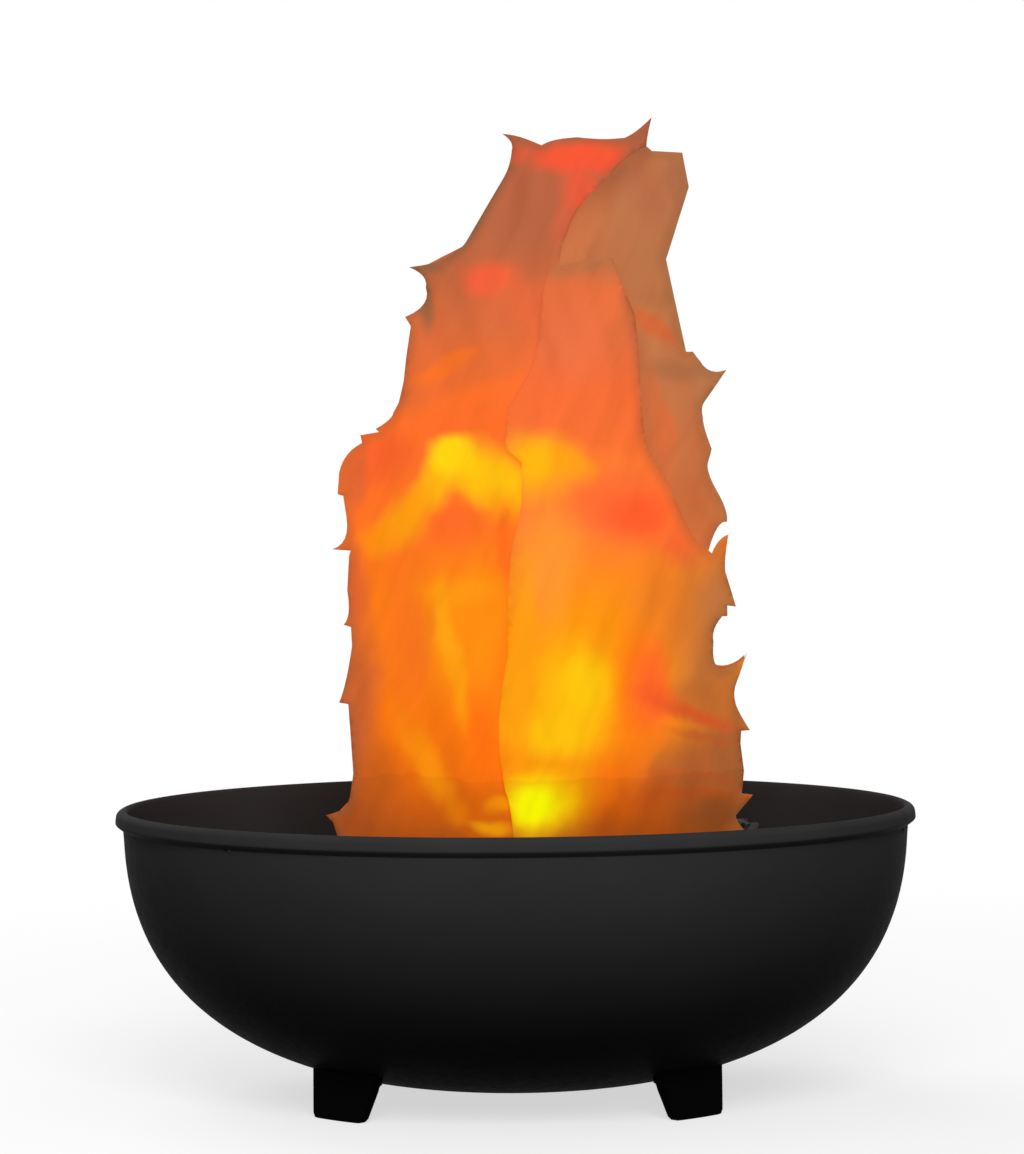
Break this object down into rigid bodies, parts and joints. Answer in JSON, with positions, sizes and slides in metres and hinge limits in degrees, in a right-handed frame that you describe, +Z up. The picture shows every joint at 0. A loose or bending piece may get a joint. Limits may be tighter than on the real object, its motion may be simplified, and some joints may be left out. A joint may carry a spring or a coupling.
{
  "type": "silk flame effect light",
  "caption": "Black bowl light on feet: a fan under a deck blows up silk tongues, lit from below by small lamps so that they flicker like a fire.",
  "frame": {"origin": "on the floor, under the middle of the round bowl", "axes": "+Z up along the bowl's axis, -Y towards the front that the picture shows, +X to the right of that view"},
  "size_m": [0.3, 0.3, 0.365],
  "materials": {
    "bowl_black": "satin black powder coat",
    "deck_black": "matt black paint",
    "fan_plastic": "moulded black",
    "fitting_plastic": "moulded black, fine grain",
    "bright_steel": "zinc plated",
    "sheet_grey": "mill finish sheet",
    "bearing_brass": "sintered",
    "circuit_green": "circuit board",
    "lens_clear": "clear, lit amber",
    "rocker_red": "gloss red",
    "silk_flame": "thin silk, lit orange and yellow from below",
    "silk_shade": "thin silk, less lit"
  },
  "bodies": {
    "base": {"bowl": "bowl_black", "foot_front_left": "bowl_black", "foot_front_right": "bowl_black", "foot_rear_right": "bowl_black", "foot_rear_left": "bowl_black", "foot_rivet_front_left": "bright_steel", "foot_rivet_front_right": "bright_steel", "foot_rivet_rear_right": "bright_steel", "foot_rivet_rear_left": "bright_steel", "deck_screw_front_left": "bright_steel", "deck_screw_front_right": "bright_steel", "deck_screw_rear_right": "bright_steel", "deck_screw_rear_left": "bright_steel", "deck_plate": "deck_black", "fan_frame": "fan_plastic", "fan_bearing": "bearing_brass", "fan_stator": "bright_steel", "finger_guard": "deck_black", "silk_frame": "sheet_grey", "silk_clamp_front": "sheet_grey", "silk_clamp_back": "sheet_grey", "fan_screw_front": "bright_steel", "fan_screw_right": "bright_steel", "fan_screw_back": "bright_steel", "fan_screw_left": "bright_steel", "silk_front_left": "silk_flame", "silk_front_right": "silk_flame", "silk_back_right": "silk_shade", "silk_back_left": "silk_flame", "lamp_bracket_1": "sheet_grey", "lamp_bracket_2": "sheet_grey", "lamp_bracket_3": "sheet_grey", "lamp_board_1": "circuit_green", "lamp_board_2": "circuit_green", "lamp_board_3": "circuit_green", "lamp_lens_1": "lens_clear", "lamp_lens_2": "lens_clear", "lamp_lens_3": "lens_clear", "lamp_screw_1": "bright_steel", "lamp_screw_2": "bright_steel", "lamp_screw_3": "bright_steel", "supply_case": "sheet_grey", "supply_board": "circuit_green", "supply_fuse": "lens_clear", "supply_screw_front": "bright_steel", "supply_screw_back": "bright_steel", "terminal_block": "fitting_plastic", "gland_body": "fitting_plastic", "gland_cap": "fitting_plastic", "gland_nut": "fitting_plastic", "switch_housing": "fitting_plastic", "switch_nut": "fitting_plastic"},
    "fan": {"fan_rotor": "fan_plastic", "fan_shaft": "bright_steel"},
    "rocker": {"switch_rocker": "rocker_red"}
  },
  "joints": [
    {"name": "fan_spin", "type": "hinge", "parent": "base", "child": "fan", "pos_m": [0, 0, 0.06], "axis": [0, 0, 1], "continuous": true},
    {"name": "switch_rock", "type": "hinge", "parent": "base", "child": "rocker", "pos_m": [0, 0.1302, 0.04495], "axis": [-1, 0, 0], "range_deg": [-24, 0]}
  ]
}
